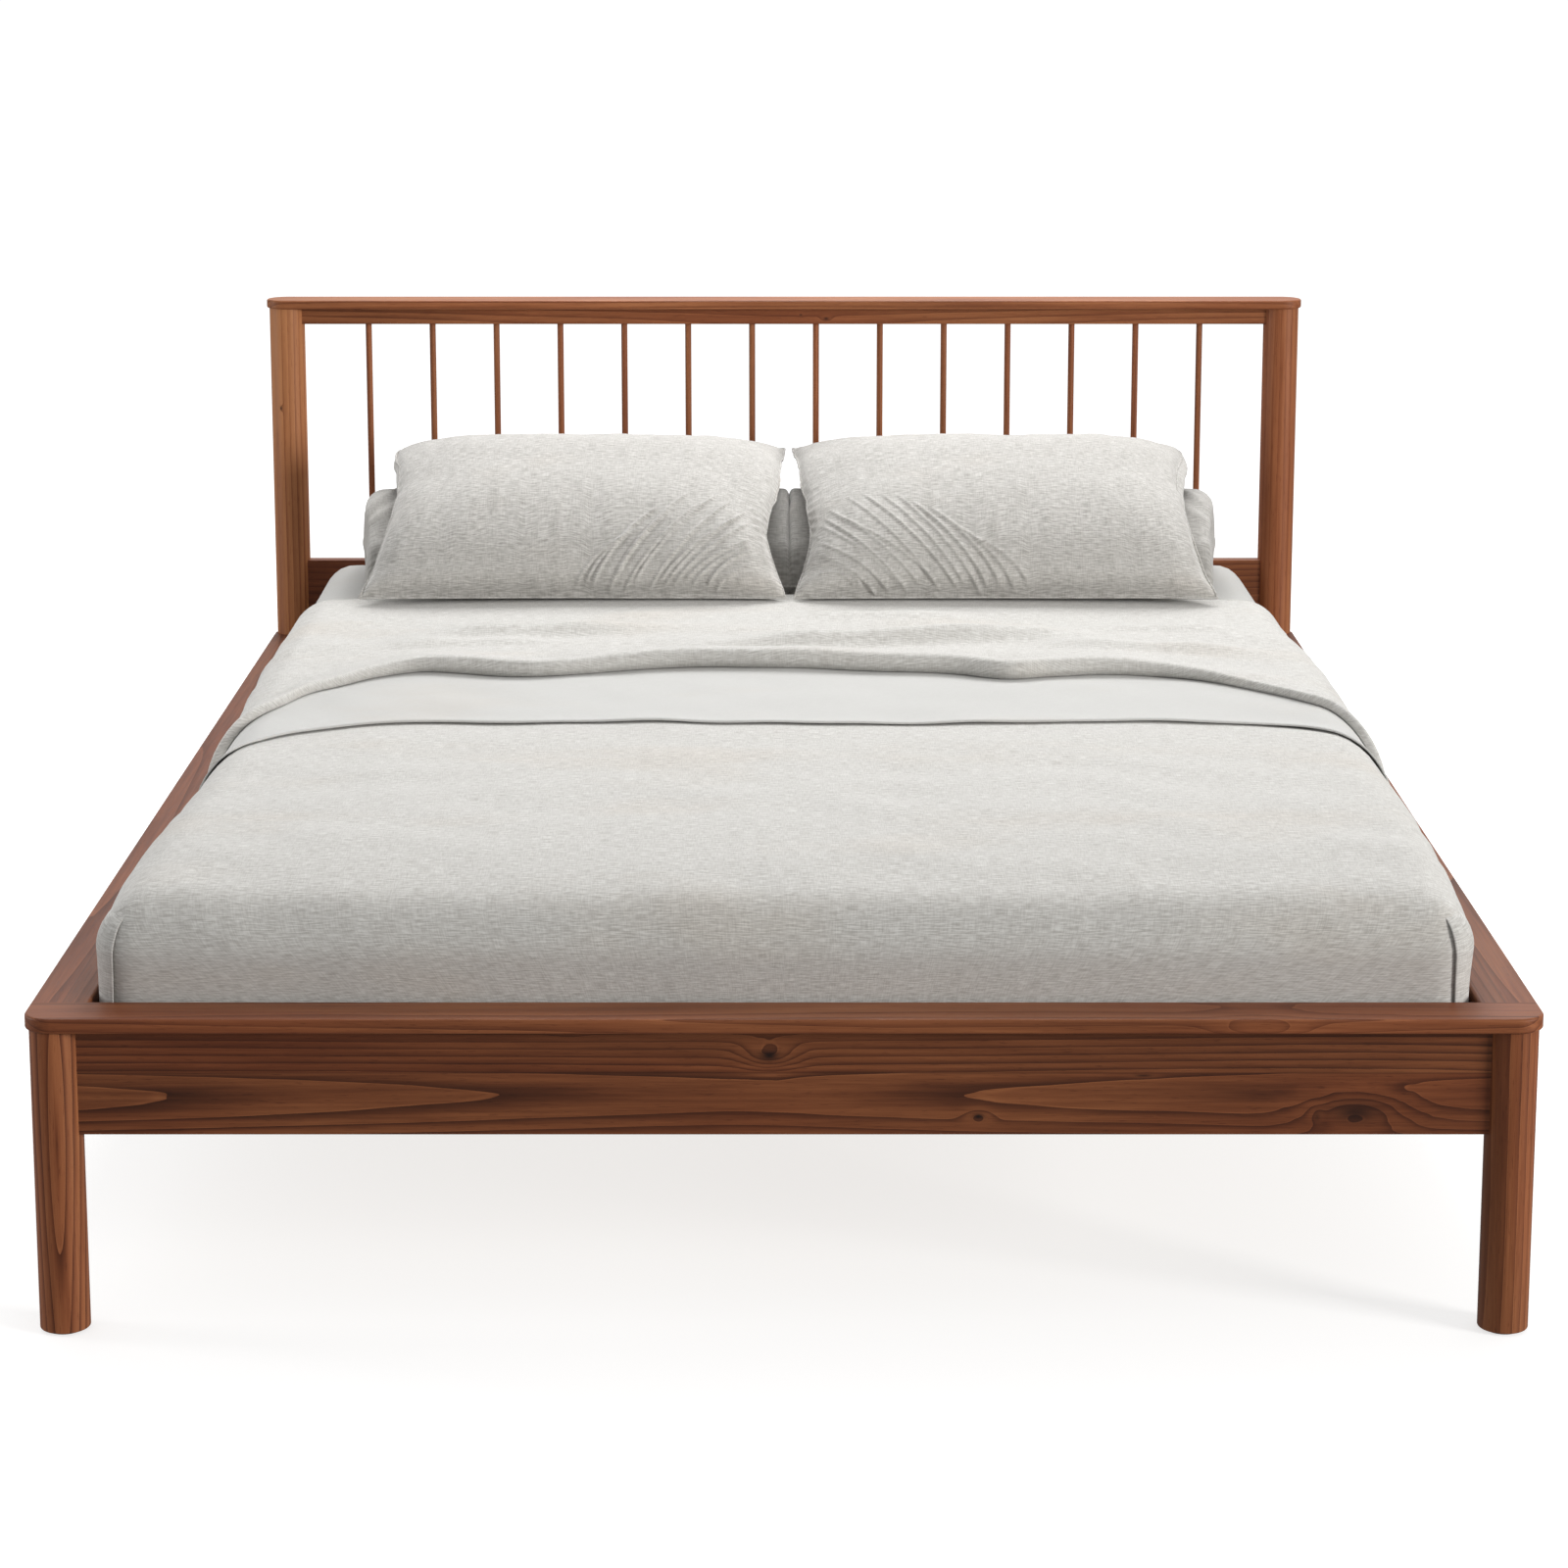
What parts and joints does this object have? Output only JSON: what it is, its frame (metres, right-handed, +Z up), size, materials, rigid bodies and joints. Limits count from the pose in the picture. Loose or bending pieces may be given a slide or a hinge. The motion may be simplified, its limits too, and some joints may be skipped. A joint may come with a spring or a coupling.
{
  "type": "spindle bed",
  "caption": "Low wooden bed frame with round legs, flat rail caps and a headboard of thin vertical spindles, made up with a mattress, linen bedding and pillows.",
  "frame": {"origin": "on the floor, under the middle of the whole bed", "axes": "+Y from foot to head, along the bed; +Z up; +X to the right seen from the foot end"},
  "size_m": [1.668, 2.1584, 0.916],
  "materials": {
    "stained_wood": "satin",
    "plain_pine": "matte",
    "zinc_steel": "satin",
    "glide_plastic": "matte",
    "mattress_ticking": "matte",
    "sheet_cotton": "matte",
    "cover_linen": "matte",
    "pillow_linen": "matte"
  },
  "bodies": {
    "frame": {"barrel_nuts": "zinc_steel", "beam_hangers": "zinc_steel", "bed_bolts": "zinc_steel", "centre_beam": "plain_pine", "foot_leg_left": "stained_wood", "foot_leg_right": "stained_wood", "footboard_cap": "stained_wood", "footboard_panel": "stained_wood", "head_post_left": "stained_wood", "head_post_right": "stained_wood", "headboard_cap": "stained_wood", "headboard_lower_rail": "stained_wood", "headboard_top_rail": "stained_wood", "leg_glides": "glide_plastic", "side_cap_left": "stained_wood", "side_cap_right": "stained_wood", "side_rail_left": "stained_wood", "side_rail_right": "stained_wood", "slat_01": "plain_pine", "slat_02": "plain_pine", "slat_03": "plain_pine", "slat_04": "plain_pine", "slat_05": "plain_pine", "slat_06": "plain_pine", "slat_07": "plain_pine", "slat_08": "plain_pine", "slat_09": "plain_pine", "slat_10": "plain_pine", "slat_11": "plain_pine", "slat_12": "plain_pine", "slat_ledger_left": "plain_pine", "slat_ledger_right": "plain_pine", "spindle_01": "stained_wood", "spindle_02": "stained_wood", "spindle_03": "stained_wood", "spindle_04": "stained_wood", "spindle_05": "stained_wood", "spindle_06": "stained_wood", "spindle_07": "stained_wood", "spindle_08": "stained_wood", "spindle_09": "stained_wood", "spindle_10": "stained_wood", "spindle_11": "stained_wood", "spindle_12": "stained_wood", "spindle_13": "stained_wood", "spindle_14": "stained_wood", "support_leg_front": "plain_pine", "support_leg_rear": "plain_pine", "wood_screws": "zinc_steel"},
    "mattress": {"mattress": "mattress_ticking", "fitted_sheet": "sheet_cotton", "bed_cover": "cover_linen", "sheet_cuff": "cover_linen", "cover_fold": "cover_linen"},
    "pillow_rear_left": {"pillow_rear_left": "pillow_linen"},
    "pillow_rear_right": {"pillow_rear_right": "pillow_linen"},
    "pillow_front_left": {"pillow_front_left": "pillow_linen"},
    "pillow_front_right": {"pillow_front_right": "pillow_linen"},
    "levelling_foot_front": {"levelling_foot_front": "glide_plastic"},
    "levelling_foot_rear": {"levelling_foot_rear": "glide_plastic"}
  },
  "joints": [
    {"name": "mattress_lift", "type": "slide", "parent": "frame", "child": "mattress", "axis": [0, 0, 1], "range_m": [0, 0.4]},
    {"name": "rear_pillow_left_lift", "type": "slide", "parent": "mattress", "child": "pillow_rear_left", "axis": [0, 0, 1], "range_m": [0, 0.3]},
    {"name": "front_pillow_left_lift", "type": "slide", "parent": "pillow_rear_left", "child": "pillow_front_left", "axis": [0, 0, 1], "range_m": [0, 0.3]},
    {"name": "rear_pillow_right_lift", "type": "slide", "parent": "mattress", "child": "pillow_rear_right", "axis": [0, 0, 1], "range_m": [0, 0.3]},
    {"name": "front_pillow_right_lift", "type": "slide", "parent": "pillow_rear_right", "child": "pillow_front_right", "axis": [0, 0, 1], "range_m": [0, 0.3]},
    {"name": "levelling_foot_front_turn", "type": "slide", "parent": "frame", "child": "levelling_foot_front", "axis": [0, 0, -1], "range_m": [0, 0.012]},
    {"name": "levelling_foot_rear_turn", "type": "slide", "parent": "frame", "child": "levelling_foot_rear", "axis": [0, 0, -1], "range_m": [0, 0.012]}
  ]
}
